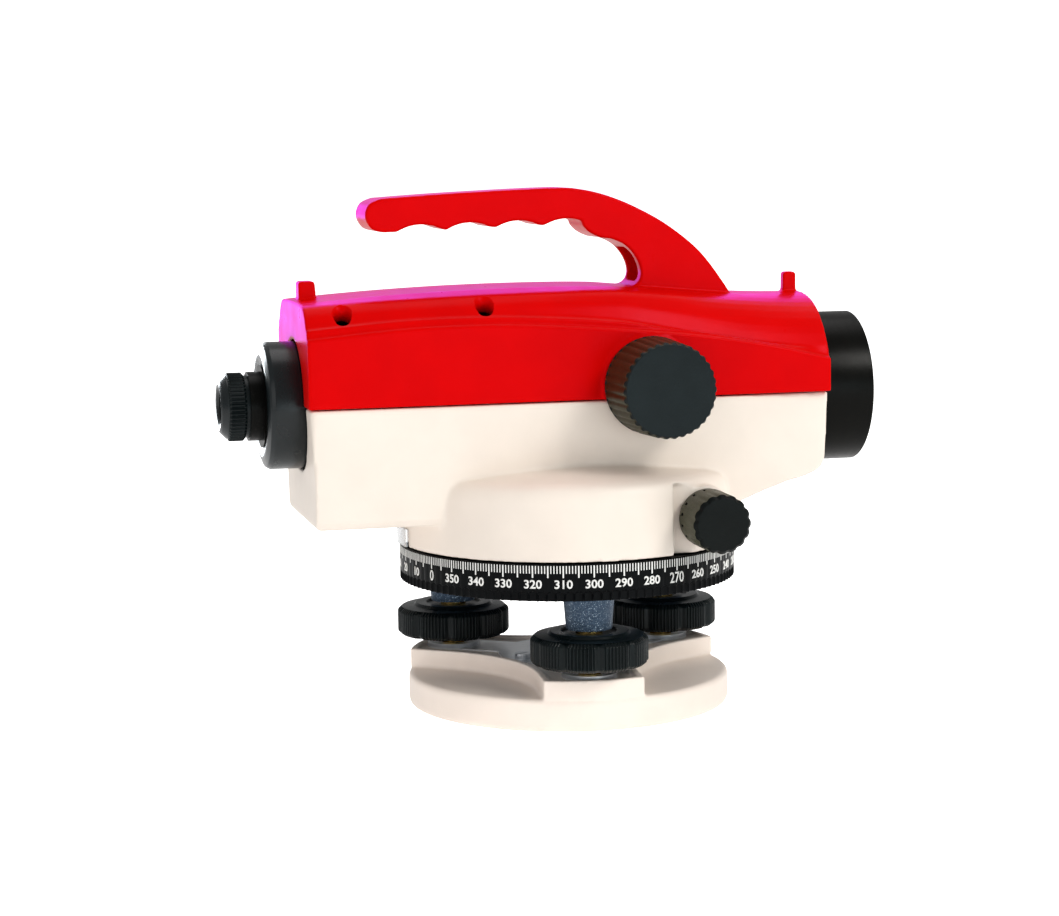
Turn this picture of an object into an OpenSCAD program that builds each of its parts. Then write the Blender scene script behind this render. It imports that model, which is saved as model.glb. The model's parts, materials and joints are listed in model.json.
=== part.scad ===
// Automatic surveying level: base plate and footscrews, graduated circle, endless tangent drive,
// housing and cover with a carrying handle, telescope, compensator, eyepiece and circular vial.
// Millimetres. +Z is up, +X points from the eyepiece to the objective, and the origin is the
// mouth of the tripod thread, in the centre of the base plate's underside.

/* [Base] */
// Radius of the base plate
base_r = 50.3; // [48:0.1:52]
// Thickness of the base plate's disc
base_h = 9.8; // [9:0.1:11]
// Height of the three-lobed platform on the disc
star_h = 5.8; // [5.5:0.1:6]
// Half the width of one lobe
lobe_half = 15.3; // [14:0.1:16]
// Tap-drill radius of the 5/8 inch 11 tpi tripod thread
tripod_r = 6.75; // [6.7:0.01:6.95]
// Radius of the circle through the three footscrews
screw_circle = 39.13; // [38:0.01:40]
// Direction of the front footscrew
screw_turn = 265.19; // [260:0.01:270]

/* [Footscrews] */
// Radius of a footscrew's knob
foot_knob_r = 17.8; // [16:0.1:18]
// Height of a footscrew's knob
foot_knob_h = 10.3; // [9:0.1:10.5]
// Underside of a footscrew's knob
foot_knob_z = 18.7; // [18.7:0.1:19.2]
// Radius of a footscrew's threaded stem
stem_r = 4; // [3.5:0.1:4.2]

/* [Graduated circle] */
// Outer radius of the graduated circle
circle_r = 52.5; // [51:0.1:53]
// Underside of the graduated circle
circle_z = 40; // [39.8:0.1:40.4]
// Height of the graduated circle
circle_h = 11.1; // [10.5:0.1:11.3]

/* [Housing] */
// Half the width of the housing at its seam
half_w = 30; // [29:0.1:31]
// Height of the seam between housing and cover
seam_z = 97.1; // [96.8:0.1:97.4]
// Rear face of the housing
rear_x = -84.8; // [-86:0.1:-84.4]
// Front face of the housing
front_x = 75.8; // [75.6:0.1:75.9]
// Outer radius of the drum under the housing
drum_r = 52.3; // [51:0.1:52.4]
// Thickness of the housing's and the cover's walls
wall = 2.4; // [2:0.1:2.6]

/* [Handle] */
// Width of the carrying handle
handle_w = 18; // [15:0.5:20]
// Depth of the finger grooves
groove_depth = 2.2; // [1:0.1:2.4]

/* [Telescope] */
// Height of the line of sight
axis_z = 96.3; // [96.2:0.1:96.6]
// Radius of the objective barrel
objective_r = 23.6; // [23:0.1:24]
// Front end of the objective barrel
objective_x = 94.5; // [93:0.1:96]
// Radius of the eyepiece flange
flange_r = 19.4; // [19:0.1:19.6]

/* [Focus drive] */
// Distance of the focus axis from the vertical axis
focus_x = 19.2; // [19:0.1:19.5]
// Height of the focus axis
focus_z = 101.4; // [101.4:0.1:101.6]
// Radius of the focus knob
focus_knob_r = 14.6; // [13:0.1:16]
// Length of the focus knob
focus_knob_l = 20.8; // [18:0.1:22]
// Number of flutes round the focus knob
focus_flutes = 34; // [24:1:40]

/* [Tangent drive] */
// Distance of the worm's axis from the vertical axis
worm_x = 32; // [31.95:0.01:32.1]
// Height of the worm's axis
worm_z = 62.3; // [62:0.1:62.6]
// Radius of a tangent knob
tangent_knob_r = 8.9; // [8:0.1:9.5]
// Outer end of the tangent knobs
tangent_y = 61.4; // [58:0.1:63]

/* [Hidden] */
$fn = 72;

eps = 0.01;
run = 0.05;          // radial running clearance of a shaft in its bore
star_top = base_h + star_h;
spring_t = 0.5;
spring_arm = 7.5;     // half width of the spring's arms
washer_r = 8.4;
washer_t = 1.2;
recess = 1;          // depth of the platform's recess, inside a narrow rim
plate_z = star_top - recess;
ball_r = 4.6;
ball_z = 11;
socket_r = 5.3;
web_r = 46;          // radius of the concave webs between the lobes
screw_dirs = [screw_turn, screw_turn - 120, screw_turn + 120];
web_dirs = [screw_turn + 60, screw_turn + 180, screw_turn - 60];
spring_screw_circle = 18;
tribrach_r = 47.9;
tribrach_top = 46.9;
bush_top = 66;
spindle_r = 8;
deck_z = 72.2;       // underside of the deck that the spindle hangs from
floor_z = 76.2;      // upper side of the deck, which carries the optics
drum_z = 51.6;
side_boss_y = 44;
flat_x = 21;
focus_teeth = 14;
focus_module = 0.5;
focus_pitch_r = focus_teeth * focus_module / 2;
wheel_teeth = 120;
wheel_module = 0.45;
wheel_pitch_r = wheel_teeth * wheel_module / 2;
worm_pitch = PI * wheel_module;
cover_screw_spots = [[-74, 1], [-74, -1], [-31, 1], [-31, -1]];
cover_screw_y = 25;
scoop_floor = 120.6;
vial_at = [-38, 46];
pendulum_x = -27;

// ---- helpers -------------------------------------------------------------------------------

// Children drawn along +Z are laid along +X from x, on the line of sight.
module along_x(x) {
  translate([x, 0, axis_z]) rotate([0, 90, 0]) children();
}

// Children drawn along +Z are laid along +Y from the given point.
module along_y(x, y, z) {
  translate([x, y, z]) rotate([-90, 0, 0]) children();
}

// A side view in (x, z), extruded to both sides of the middle plane.
module side_slab(half) {
  translate([0, half, 0]) rotate([90, 0, 0]) linear_extrude(2 * half) children();
}

// A cross-section in (y, z), extruded from x0 to x1.
module cross_slab(x0, x1) {
  translate([x0, 0, 0]) rotate([90, 0, 90]) linear_extrude(x1 - x0) children();
}

module tube(r_out, r_in, h) {
  difference() {
    cylinder(r = r_out, h = h);
    translate([0, 0, -1]) cylinder(r = r_in, h = h + 2);
  }
}

// A disc with quarter-round upper and lower edges.
module round_disc(r, h, edge) {
  rotate_extrude() {
    square([r - edge, h]);
    translate([0, edge]) square([r, h - 2 * edge]);
    for (z = [edge, h - edge])
      intersection() {
        translate([r - edge, z]) circle(edge);
        translate([r - 2 * edge, z - edge]) square(2 * edge);
      }
  }
}

// A lens of radius r and centre thickness h. A positive sag makes that face convex.
module lens(r, h, front_sag, rear_sag) {
  steps = 8;
  rotate_extrude()
    polygon(concat(
      [for (i = [0:steps]) [r * i / steps, rear_sag * pow(i / steps, 2)]],
      [for (i = [steps:-1:0]) [r * i / steps, h - front_sag * pow(i / steps, 2)]]));
}

// Smooth curve through the points p, with n steps between neighbours.
function smooth(p, n) = concat(
  [for (i = [0:len(p) - 2]) for (k = [0:n - 1])
    let (t = k / n, a = p[max(i - 1, 0)], b = p[i], c = p[i + 1], d = p[min(i + 2, len(p) - 1)])
    0.5 * (2 * b + (c - a) * t + (2 * a - 5 * b + 4 * c - d) * t * t
      + (3 * b - a - 3 * c + d) * t * t * t)],
  [p[len(p) - 1]]);

// Outline with n rounded lobes, each parted from the next by a valley of the given depth.
function lobed(n, r, depth, steps) =
  [for (i = [0:n * steps - 1])
    let (a = i * 360 / (n * steps), v = 0.5 - 0.5 * cos(n * a))
    (r - depth * v * v) * [cos(a), sin(a)]];

// Outline of a gear with straight-sided teeth, one tooth centred on the x axis.
function gear(n, m, slack) =
  let (pr = n * m / 2, half = PI * m / 4 - slack)
  [for (i = [0:n - 1]) for (k = [[-1, -1], [-1, 1], [1, 1], [1, -1]])
    let (r = pr + (k[1] > 0 ? 0.9 * m : -1.2 * m),
         w = half - (r - pr) * tan(20),
         a = i * 360 / n + k[0] * w / r * 180 / PI)
    r * [cos(a), sin(a)]];

// Solid skin over equal-length rings of points, from the first ring to the last.
module loft(rings) {
  n = len(rings[0]);
  last = len(rings) - 1;
  polyhedron(
    points = [for (ring = rings) each ring],
    faces = concat(
      [[for (k = [0:n - 1]) k]],
      [[for (k = [n - 1:-1:0]) last * n + k]],
      [for (i = [0:last - 1]) for (k = [0:n - 1])
        [i * n + k, (i + 1) * n + k, i * n + (k + 1) % n]],
      [for (i = [0:last - 1]) for (k = [0:n - 1])
        [i * n + (k + 1) % n, (i + 1) * n + k, (i + 1) * n + (k + 1) % n]]));
}

// ---- base ----------------------------------------------------------------------------------

// Three lobes with straight flanks, joined by concave webs.
module star_outline(half, web, rim) {
  corner = half / sin(60);
  reach = corner * cos(60) + web / tan(60);
  intersection() {
    circle(rim);
    union() {
      for (a = screw_dirs) rotate(a) translate([0, -half]) square([rim + 5, 2 * half]);
      difference() {
        polygon([for (a = screw_dirs) for (s = [1, -1])
          reach * [cos(a), sin(a)] + s * half * [-sin(a), cos(a)]]);
        for (a = web_dirs) rotate(a) translate([corner + web / sin(60), 0]) circle(web);
      }
    }
  }
}

module base_plate() {
  color([0.93, 0.87, 0.82])
  difference() {
    union() {
      round_disc(base_r, base_h, 1.6);
      translate([0, 0, base_h - eps]) linear_extrude(star_h + eps)
        star_outline(lobe_half, web_r, base_r - 0.3);
    }
    translate([0, 0, -1]) cylinder(r = tripod_r, h = star_top + 2);
    translate([0, 0, plate_z]) linear_extrude(5)
      star_outline(lobe_half - 2.2, web_r + 2.2, base_r - 2.5);
    translate([0, 0, -1]) tube(42, 22, 3.5);
    for (a = screw_dirs) rotate(a) translate([screw_circle, 0, 4.5]) cylinder(r = socket_r, h = 20);
    for (a = web_dirs) rotate(a) translate([spring_screw_circle, 0, 9]) cylinder(r = 1.3, h = 9);
  }
}

module spring_plate() {
  color("silver")
  translate([0, 0, plate_z])
  linear_extrude(spring_t)
  difference() {
    union() {
      for (a = screw_dirs) rotate(a) translate([0, -spring_arm]) square([screw_circle, 2 * spring_arm]);
      circle(22);
      for (a = screw_dirs) rotate(a) translate([screw_circle, 0]) circle(8.5);
    }
    circle(9);
    for (a = screw_dirs) rotate(a) translate([screw_circle, 0]) circle(socket_r);
    for (a = web_dirs) rotate(a) translate([spring_screw_circle, 0]) circle(1.6);
  }
}

module spring_plate_screws() {
  color("silver")
  for (a = web_dirs) rotate(a) translate([spring_screw_circle, 0, 0])
    difference() {
      union() {
        translate([0, 0, 9.5]) cylinder(r = 1.25, h = plate_z + spring_t - 9.5);
        translate([0, 0, plate_z + spring_t]) cylinder(r = 2.7, h = 1.6);
      }
      translate([-3, -0.35, plate_z + spring_t + 0.9]) cube([6, 0.7, 2]);
    }
}

module foot_washers() {
  color([0.35, 0.40, 0.47])
  for (a = screw_dirs) rotate(a) translate([screw_circle, 0, plate_z + spring_t])
    tube(washer_r, socket_r, washer_t);
}

// ---- footscrews and tribrach ---------------------------------------------------------------

// Ball foot, neck and threaded stem, on the axis of the footscrew in direction a.
module footscrew(a) {
  color([0.80, 0.62, 0.28])
  rotate(a) translate([screw_circle, 0, 0]) {
    translate([0, 0, ball_z]) sphere(ball_r);
    translate([0, 0, ball_z]) cylinder(r = 3.4, h = 12);
    translate([0, 0, foot_knob_z - 1.6]) cylinder(r = stem_r, h = 42 - foot_knob_z);
  }
}

module footscrew_front() { footscrew(screw_dirs[0]); }
module footscrew_left() { footscrew(screw_dirs[1]); }
module footscrew_right() { footscrew(screw_dirs[2]); }

module footscrew_knob(a) {
  color([0.07, 0.07, 0.08])
  rotate(a) translate([screw_circle, 0, foot_knob_z])
    difference() {
      union() {
        linear_extrude(foot_knob_h - 1.2) polygon(lobed(8, foot_knob_r, 1.6, 12));
        cylinder(r = 12.4, h = foot_knob_h);
      }
      translate([0, 0, -1]) cylinder(r = stem_r + 0.02, h = foot_knob_h + 2);
      translate([0, 0, -1]) tube(14.5, 6.5, 2.2);
    }
}

module footscrew_knob_front() { footscrew_knob(screw_dirs[0]); }
module footscrew_knob_left() { footscrew_knob(screw_dirs[1]); }
module footscrew_knob_right() { footscrew_knob(screw_dirs[2]); }

module tribrach() {
  color([0.30, 0.36, 0.44])
  difference() {
    union() {
      translate([0, 0, 43]) cylinder(r = tribrach_r, h = tribrach_top - 43);
      translate([0, 0, 40.4]) tube(tribrach_r, 44.5, 3);
      translate([0, 0, 40.4]) cylinder(r = 18, h = 4);
      for (a = screw_dirs) rotate(a) {
        translate([screw_circle, 0, 29.6]) cylinder(r1 = 7, r2 = 8.1, h = 14);
        translate([14, -4, 40.4]) cube([screw_circle - 14, 8, 3]);
      }
    }
    translate([0, 0, 39]) cylinder(r = 13, h = 10);
    for (a = screw_dirs) rotate(a) translate([screw_circle, 0, 28]) cylinder(r = 5.5, h = 17);
  }
}

module footscrew_bushes() {
  color([0.80, 0.62, 0.28])
  for (a = screw_dirs) rotate(a) translate([screw_circle, 0, 30])
    tube(5.5, stem_r + run, 15);
}

module spindle_bush() {
  color([0.75, 0.72, 0.62])
  difference() {
    union() {
      translate([0, 0, 40.5]) cylinder(r = 13, h = bush_top - 40.5);
      translate([0, 0, 57.6]) cylinder(r = 16, h = 3);
      translate([0, 0, tribrach_top]) cylinder(r = 16, h = 2);
    }
    translate([0, 0, 40]) cylinder(r = spindle_r + run, h = 30);
  }
}

module graduated_circle() {
  color([0.05, 0.05, 0.06])
  difference() {
    union() {
      translate([0, 0, circle_z + 3.2]) cylinder(r = circle_r, h = circle_h - 3.2);
      translate([0, 0, circle_z]) linear_extrude(3.3)
        polygon([for (i = [0:239]) (i % 2 == 0 ? circle_r - 0.05 : circle_r - 0.5)
          * [cos(i * 1.5), sin(i * 1.5)]]);
    }
    translate([0, 0, circle_z - 1]) cylinder(r = tribrach_r + run, h = tribrach_top - circle_z + 1.1);
    translate([0, 0, circle_z - 1]) cylinder(r = 42, h = 20);
    translate([0, 0, tribrach_top + 2.6]) cylinder(r = 46, h = 20);
  }
}

// ---- housing -------------------------------------------------------------------------------

// Outer shape of the housing's box: side view, cross-section and plan meet in one solid.
module housing_box() {
  intersection() {
    side_slab(40)
      polygon(concat(
        [[rear_x, seam_z], [rear_x + 1.2, 74], [rear_x + 1.3, 62], [rear_x + 2.3, 60.8],
         [40, 60.8], [50, 64.7]],
        smooth([[63, 69.8], [67, 70.8], [71, 72.2], [73.6, 74.2], [74.6, 77]], 3),
        [[front_x, seam_z]]));
    cross_slab(-100, 100)
      polygon([for (s = [[1, seam_z, half_w], [1, 76, half_w - 0.8], [1, 63, half_w - 2.4],
        [1, 60.8, half_w - 3.6], [-1, 60.8, half_w - 3.6], [-1, 63, half_w - 2.4],
        [-1, 76, half_w - 0.8], [-1, seam_z, half_w]]) [s[0] * s[2], s[1]]]);
    linear_extrude(150)
      polygon([[rear_x, half_w - 1.2], [rear_x + 1.2, half_w], [43.7, half_w],
        [front_x - 1, half_w - 2.2], [front_x, half_w - 3.2],
        [front_x, 3.2 - half_w], [front_x - 1, 2.2 - half_w],
        [43.7, -half_w], [rear_x + 1.2, -half_w], [rear_x, 1.2 - half_w]]);
  }
}

module drum_solid() {
  rotate_extrude()
    polygon(concat([[0, drum_z], [drum_r, drum_z]],
      smooth([[drum_r, 69.5], [drum_r - 0.5, 71.8], [drum_r - 1.8, 73.5], [drum_r - 4.4, 74.6]], 3),
      [[29, 77.3], [0, 77.6]]));
}

module lower_housing() {
  color([0.96, 0.90, 0.84])
  difference() {
    union() {
      housing_box();
      drum_solid();
      for (s = [1, -1]) {
        along_y(worm_x, s > 0 ? 30 : -side_boss_y, worm_z) cylinder(r = 9.4, h = side_boss_y - 30);
      }
      translate([vial_at[0] - 9, 28, 84]) cube([18, 3, 12]);
    }
    // room in the rear box, over the deck and in front of it
    difference() {
      union() {
        translate([rear_x + 1.2 + wall, wall + 2 - half_w, 63.4])
          cube([31, 2 * (half_w - wall - 2), 40]);
        translate([-60, wall + 0.9 - half_w, floor_z])
          cube([103, 2 * (half_w - wall - 0.9), 40]);
        translate([42, wall + 3.3 - half_w, floor_z])
          cube([front_x - wall - 42, 2 * (half_w - wall - 3.3), 40]);
      }
      for (p = cover_screw_spots) translate([p[0], p[1] * cover_screw_y, 60])
        cylinder(r = 3.4, h = 50);
    }
    // room in the drum, with a wall left behind each flat
    difference() {
      translate([0, 0, drum_z - 1]) cylinder(r = drum_r - wall - 0.3, h = 69.4 - drum_z + 1);
      for (y = [-60, side_boss_y - wall]) translate([flat_x - 3, y, 50])
        cube([40, 60 - side_boss_y + wall, 30]);
    }
    translate([0, 0, 60]) cylinder(r = 44, h = deck_z - 60);
    // rear opening round the eyepiece flange, front opening for the objective barrel
    along_x(-100) cylinder(r = flange_r + 0.6, h = 22);
    along_x(57) cylinder(r = 20.8, h = 30);
    for (a = [0, 120, 240]) rotate(a) translate([12, 0, 60]) cylinder(r = 1.6, h = 30);
    for (p = cover_screw_spots) translate([p[0], p[1] * cover_screw_y, 86]) cylinder(r = 1.55, h = 20);
    // seats of the worm's bushes and of the focus bush
    along_y(worm_x, -60, worm_z) cylinder(r = 5, h = 120);
    along_y(focus_x, -40, focus_z) cylinder(r = 5, h = 20);
    // flats of the drum behind the tangent knobs
    for (y = [-60, side_boss_y]) translate([flat_x, y, 51]) cube([30, 16, 22]);
  }
}

// Height along the cover of its ledge, of its upper crease and of its crown.
function ledge_z(x) = 120.4 - pow(abs(x + 27), 2) * (x < -27 ? 0.00064 : 0.00124);
function crease_z(x) = 129.4 - pow(abs(x - 5), 2) * (x < 5 ? 0.00030 : 0.00070);
function crown_z(x) = 131.3 - pow(abs(x + 15), 2) * (x < -15 ? 0.00072 : 0.00059);
function ease(t) = let (u = min(max(t, 0), 1)) u * u * (3 - 2 * u);

// Half of the cover's cross-section at x, from the seam to the crown, as points in (y, z).
// The rear has a ledge and a sloping upper side. Towards the front it turns into a round arch.
function cover_half(x, inset) =
  let (
    t = ease((x - 22) / 50),
    w = half_w + 0.3,
    low = ledge_z(x),
    boxy = [[w, seam_z], [w, low], [w - 1.1, low + 1.3], [w - 1.7, low + 3], [25.4, 0.45 * (low + 3) + 0.55 * crease_z(x)],
      [22, crease_z(x)], [15, crease_z(x) + 0.7 * (crown_z(x) - crease_z(x))], [0, crown_z(x)]],
    arch = [for (a = [1.5, 21, 24, 27, 46, 60, 74, 90]) [half_w * cos(a), axis_z + half_w * sin(a)]],
    scale = [1 - inset / w, 1 - inset / 34.5])
  [for (i = [0:len(boxy) - 1])
    let (p = (1 - t) * boxy[i] + t * arch[i])
    [p[0] * scale[0], seam_z - (inset > 0 ? 1 : 0) + (p[1] - seam_z) * scale[1] * (i == 0 ? 0 : 1)]];

function cover_ring(x, inset) =
  let (h = cover_half(x, inset), n = len(h))
  concat([for (i = [0:n - 1]) [x, h[i][0], h[i][1]]],
    [for (i = [n - 2:-1:0]) [x, -h[i][0], h[i][1]]]);

module cover_skin(x0, x1, inset) {
  steps = 14;
  loft([for (i = [0:steps]) cover_ring(x0 + (x1 - x0) * i / steps, inset)]);
}

// The handle: a bar that rises from the front of the cover and runs back over it to a free end.
module handle() {
  side_slab(handle_w / 2)
    difference() {
      polygon(concat(
        smooth([[-58.8, 158.5], [-37.3, 159.7], [-6, 160.8], [3.5, 160.3], [13, 157.9], [22.6, 153.8],
          [32.2, 148.2], [41.9, 140.2], [50, 129.6], [53, 124]], 4),
        smooth([[9, 124], [9.5, 128.6], [19.2, 130.1], [22.1, 132.2], [22.4, 135.6], [20.8, 139.4],
          [17.7, 142.8], [13.5, 144.8], [9.7, 145.4], [6.2, 147.1], [3.4, 149.6], [0, 149.9],
          [-8.3, 149.4], [-23.1, 148.8], [-38.7, 148.4], [-52.9, 148.4], [-58.1, 148.3]], 3),
        smooth([[-58.1, 148.3], [-61.6, 149.4], [-63.6, 153], [-62.4, 156.8], [-58.8, 158.5]], 4)));
      for (i = [0:3]) translate([-46.4 + 15.2 * i, 148.3 + groove_depth - 14 + 0.3 * i]) circle(14);
    }
}

module top_cover() {
  color([0.85, 0.03, 0.02])
  difference() {
    union() {
      difference() {
        cover_skin(rear_x - 0.5, front_x + 1.2, 0);
        cover_skin(rear_x + wall, front_x - wall + 0.6, wall);
      }
      handle();
      // rear and front sights
      translate([-83.2, -3.2, 124]) cube([4.3, 6.4, 9]);
      translate([71.3, -1.6, 122]) cube([4.4, 3.2, 11]);
      // columns for the cover screws
      for (p = cover_screw_spots) translate([p[0], p[1] * cover_screw_y, seam_z])
        cylinder(r = 3.4, h = scoop_floor - 1.8 - seam_z);
    }
    // scoops over the screw heads
    for (p = cover_screw_spots) translate([p[0], p[1] * cover_screw_y, 0]) {
      translate([0, 0, scoop_floor - 2]) cylinder(r = 2.9, h = 20);
      translate([0, 0, 60]) cylinder(r = 1.6, h = 80);
    }
    along_x(-100) cylinder(r = flange_r + 0.6, h = 22);
    along_x(57) cylinder(r = 20.8, h = 30);
    along_x(75.4) cylinder(r = objective_r + 0.4, h = 5);
    along_y(focus_x, -40, focus_z) cylinder(r = 5, h = 20);
    // front sight notch
    translate([60, -0.5, 131.2]) cube([20, 1, 3]);
  }
}

module cover_screws() {
  color("silver")
  for (p = cover_screw_spots) translate([p[0], p[1] * cover_screw_y, 0])
    difference() {
      union() {
        translate([0, 0, 88]) cylinder(r = 1.5, h = scoop_floor - 2 - 88);
        translate([0, 0, scoop_floor - 2]) cylinder(r = 2.6, h = 1.8);
      }
      translate([-3, -0.35, scoop_floor - 0.9]) cube([6, 0.7, 2]);
      translate([-0.35, -3, scoop_floor - 0.9]) cube([0.7, 6, 2]);
    }
}

module index_window() {
  color([0.75, 0.80, 0.85])
  intersection() {
    translate([0, 0, drum_z + 0.2]) tube(drum_r + 1.1, drum_r, 5.4);
    translate([-60, -7, 40]) cube([20, 14, 30]);
  }
}

// ---- vertical axis and tangent drive -------------------------------------------------------

module spindle() {
  color([0.62, 0.64, 0.66])
  difference() {
    union() {
      translate([0, 0, 40.4]) cylinder(r = spindle_r, h = deck_z - 40.4);
      translate([0, 0, 36.6]) cylinder(r = 6, h = 4);
      translate([0, 0, bush_top + 0.3]) cylinder(r = 17, h = deck_z - bush_top - 0.3);
    }
    for (a = [0, 120, 240]) rotate(a) translate([12, 0, 67]) cylinder(r = 1.6, h = 10);
  }
}

module spindle_screws() {
  color("silver")
  for (a = [0, 120, 240]) rotate(a) translate([12, 0, 0]) {
    translate([0, 0, 67.5]) cylinder(r = 1.5, h = floor_z - 67.5);
    translate([0, 0, floor_z]) cylinder(r = 2.8, h = 1.4);
  }
}

module spindle_nut() {
  color("silver")
  translate([0, 0, 36.8])
    difference() {
      cylinder(r = 11, h = 3.4);
      translate([0, 0, -1]) cylinder(r = 6.02, h = 6);
      for (s = [1, -1]) translate([s * 8.5, 0, -1]) cylinder(r = 1.2, h = 6);
    }
}

module worm_bushes() {
  color([0.80, 0.62, 0.28])
  for (y = [-44.6, 38]) along_y(worm_x, y, worm_z) tube(5, 2.5 + run, 6.6);
}

module worm_shaft() {
  color([0.62, 0.64, 0.66]) {
    along_y(worm_x, -58, worm_z) cylinder(r = 2.5, h = 116);
    along_y(worm_x, -3 * worm_pitch, worm_z)
      linear_extrude(6 * worm_pitch, twist = -360 * 6, slices = 96, $fn = 24)
        translate([0.38, 0]) circle(4.75);
  }
}

module worm_wheel() {
  color([0.80, 0.62, 0.28])
  translate([0, 0, 60.8])
    difference() {
      linear_extrude(3) polygon(gear(wheel_teeth, wheel_module, 0.12));
      translate([0, 0, -1]) cylinder(r = 13 + run, h = 5);
    }
}

// A tangent knob with rounded lobes, its open side towards the drum. Drawn along +Z.
module tangent_knob() {
  difference() {
    union() {
      linear_extrude(tangent_y - 45.1 - 1.4) polygon(lobed(16, tangent_knob_r, 0.9, 8));
      translate([0, 0, 4]) cylinder(r = tangent_knob_r - 1.1, h = tangent_y - 45.1 - 4);
    }
    translate([0, 0, -1]) cylinder(r = 2.52, h = 58 - 45.1 + 1);
    translate([0, 0, -1]) tube(6.6, 4, 6);
  }
}

module tangent_knob_near() {
  color([0.06, 0.06, 0.07])
  translate([worm_x, -45.1, worm_z]) rotate([90, 0, 0]) tangent_knob();
}

module tangent_knob_far() {
  color([0.06, 0.06, 0.07])
  along_y(worm_x, 45.1, worm_z) tangent_knob();
}

// ---- telescope and focus drive -------------------------------------------------------------

module telescope_tube() {
  color([0.15, 0.15, 0.16])
  difference() {
    union() {
      along_x(-4) cylinder(r = 18.5, h = 66);
      for (x = [-2, 46]) translate([x, -11, floor_z]) cube([7, 22, 12]);
    }
    along_x(-5) cylinder(r = 16, h = 70);
    translate([14.2, -20, axis_z - 3.8]) cube([31.6, 10, 4.6]);
  }
}

module objective_barrel() {
  color([0.05, 0.05, 0.06])
  along_x(58)
    rotate_extrude()
      polygon([[18.55, 0], [20.6, 0], [20.6, 19.6], [objective_r, 19.6],
        [objective_r, objective_x - 58 - 0.8], [objective_r - 0.8, objective_x - 58],
        [21.6, objective_x - 58], [20, objective_x - 60], [20, 22], [17.4, 22], [17.4, 5], [18.55, 5]]);
}

module objective_crown_lens() {
  color([0.70, 0.80, 0.90])
  along_x(80) lens(19.95, 6, 2, 1.6);
}

module objective_flint_lens() {
  color([0.65, 0.78, 0.88])
  along_x(86.05) lens(19.95, 2.9, 0.4, -2);
}

module objective_retainer() {
  color([0.10, 0.10, 0.11])
  along_x(89) tube(19.95, 18, 2.2);
}

module focus_bush() {
  color([0.80, 0.62, 0.28])
  along_y(focus_x, -30.8, focus_z) tube(5, 2.5 + run, 5.6);
}

module focus_knob() {
  color([0.10, 0.11, 0.10])
  translate([focus_x, -31.1, focus_z]) rotate([90, 0, 0])
    difference() {
      union() {
        linear_extrude(focus_knob_l - 1.5) polygon(lobed(focus_flutes, focus_knob_r, 0.8, 6));
        translate([0, 0, 4]) cylinder(r = focus_knob_r - 0.9, h = focus_knob_l - 4);
      }
      translate([0, 0, -1]) cylinder(r = 2.52, h = 14);
      translate([0, 0, -1]) tube(12.4, 5, 10);
      translate([0, 0, focus_knob_l - 0.5]) cylinder(r = focus_knob_r - 3, h = 2);
    }
}

module focus_pinion() {
  color([0.62, 0.64, 0.66]) {
    along_y(focus_x, -44, focus_z) cylinder(r = 2.5, h = 20.2);
    along_y(focus_x, -24, focus_z)
      linear_extrude(4) polygon(gear(focus_teeth, focus_module, 0.08));
  }
}

module focus_cell() {
  pitch = PI * focus_module;
  tip = focus_z - focus_pitch_r + 0.8 * focus_module;
  root = focus_z - focus_pitch_r - 1.2 * focus_module;
  color([0.80, 0.62, 0.28]) {
    along_x(24)
      difference() {
        cylinder(r = 16 - run, h = 14);
        translate([0, 0, 3]) cylinder(r = 13, h = 14);
        translate([0, 0, -1]) cylinder(r = 11.5, h = 14);
      }
    translate([26, -22, axis_z - 3.4]) cube([8, 8, 3.8]);
    // rack
    translate([4.5, -24, axis_z - 3.4]) cube([31.5, 4, root - axis_z + 3.4]);
    translate([0, -20, 0]) rotate([90, 0, 0]) linear_extrude(4)
      for (i = [-9:9])
        translate([focus_x + i * pitch, 0])
          polygon([[-0.53, root - eps], [0.53, root - eps], [0.18, tip], [-0.18, tip]]);
  }
}

module focus_lens() {
  color([0.70, 0.80, 0.90])
  along_x(28.4) lens(12.95, 3, -1.2, -1.2);
}

// ---- compensator ---------------------------------------------------------------------------

module compensator_frame() {
  color([0.55, 0.57, 0.60])
  difference() {
    union() {
      translate([-50, -17, floor_z]) cube([40, 34, 2.4]);
      for (s = [0, 1]) translate([-50, s == 0 ? -17 : 15, floor_z]) cube([44, 2, 30]);
      for (x = [-49, -16]) translate([x, -16, 87]) cube([9, 32, 2]);
      translate([-32, -16, 103]) cube([10, 32, 3.2]);
    }
    for (x = [-46, -14], y = [-12, 12]) translate([x, y, 70]) cylinder(r = 1.6, h = 12);
  }
}

module compensator_screws() {
  color("silver")
  for (x = [-46, -14], y = [-12, 12]) translate([x, y, floor_z]) {
    translate([0, 0, 0.1]) cylinder(r = 1.5, h = 2.4);
    translate([0, 0, 2.4]) cylinder(r = 2.7, h = 1.6);
  }
}

// Right-angled prism: a wedge across the beam, long side towards +X or -X.
module wedge(x, side) {
  translate([x, 7, 89]) rotate([90, 0, 0]) linear_extrude(14)
    polygon([[0, 0], [side * 8.6, 0], [side * 8.6, 14], [0, 2]]);
}

module front_prism() {
  color([0.75, 0.85, 0.92]) wedge(-15.6, 1);
}

module roof_prism() {
  color([0.75, 0.85, 0.92]) wedge(-40.4, -1);
}

module damper_magnets() {
  color([0.35, 0.35, 0.37])
  for (y = [-9, 3]) translate([pendulum_x - 5, y, floor_z + 2.4]) cube([10, 6, 3.2]);
}

module pendulum() {
  color([0.72, 0.74, 0.76]) {
    difference() {
      translate([pendulum_x - 8, -9, 84]) cube([16, 18, 9]);
      translate([pendulum_x - 6.5, -7.5, 85.2]) cube([13, 15, 20]);
    }
    translate([pendulum_x - 4, -9, 82.4]) cube([8, 18, 1.6]);
  }
}

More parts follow.
